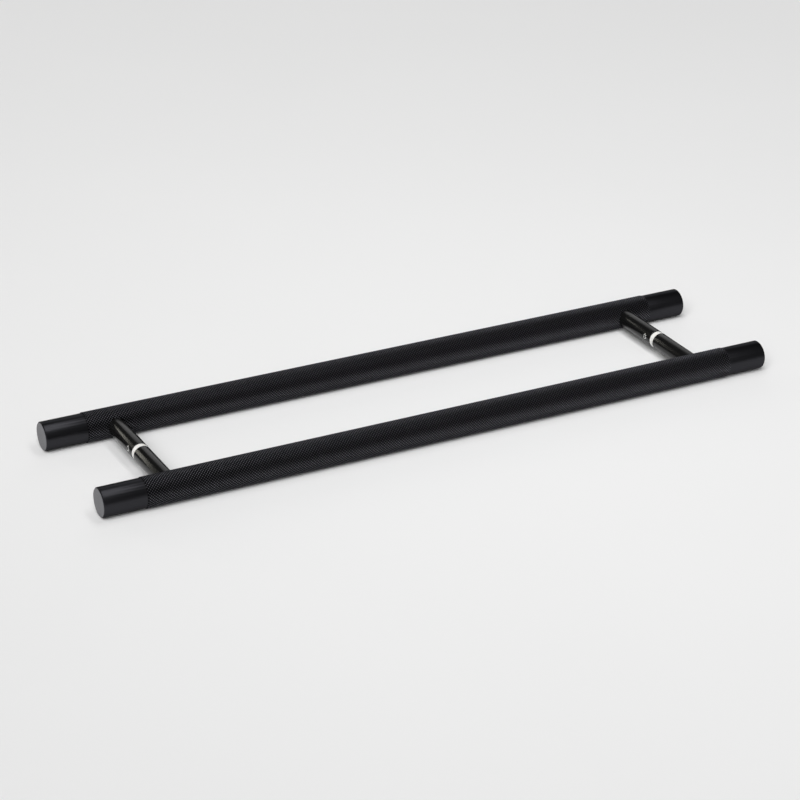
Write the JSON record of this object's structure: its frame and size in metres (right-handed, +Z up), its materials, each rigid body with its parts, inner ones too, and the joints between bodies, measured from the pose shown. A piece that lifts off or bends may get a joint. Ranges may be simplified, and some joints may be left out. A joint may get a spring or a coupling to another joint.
{
  "type": "entry door pull",
  "caption": "Straight back-to-back entry door pull: knurled round bars on round posts that clamp the door leaf between white washers.",
  "frame": {"origin": "middle of the plane in which the two pulls meet, halfway between the posts and level with the bars' axes", "axes": "+X along the bars, +Y from the front bar to the rear bar, +Z up as the pull lies on a surface"},
  "size_m": [0.6, 0.152, 0.025],
  "materials": {
    "bar": "matte",
    "post": "satin",
    "washer": "matte",
    "fastener": "satin",
    "grub_screw": "satin"
  },
  "bodies": {
    "root": {"front_bar": "bar", "rear_bar": "bar", "front_post_left": "post", "front_post_right": "post", "rear_post_left": "post", "rear_post_right": "post", "front_washer_left": "washer", "front_washer_right": "washer", "rear_washer_left": "washer", "rear_washer_right": "washer", "front_stud_left": "fastener", "front_stud_right": "fastener", "rear_stud_left": "fastener", "rear_stud_right": "fastener", "through_bolt_left": "fastener", "through_bolt_right": "fastener", "grub_screw_left": "grub_screw", "grub_screw_right": "grub_screw"}
  },
  "joints": []
}
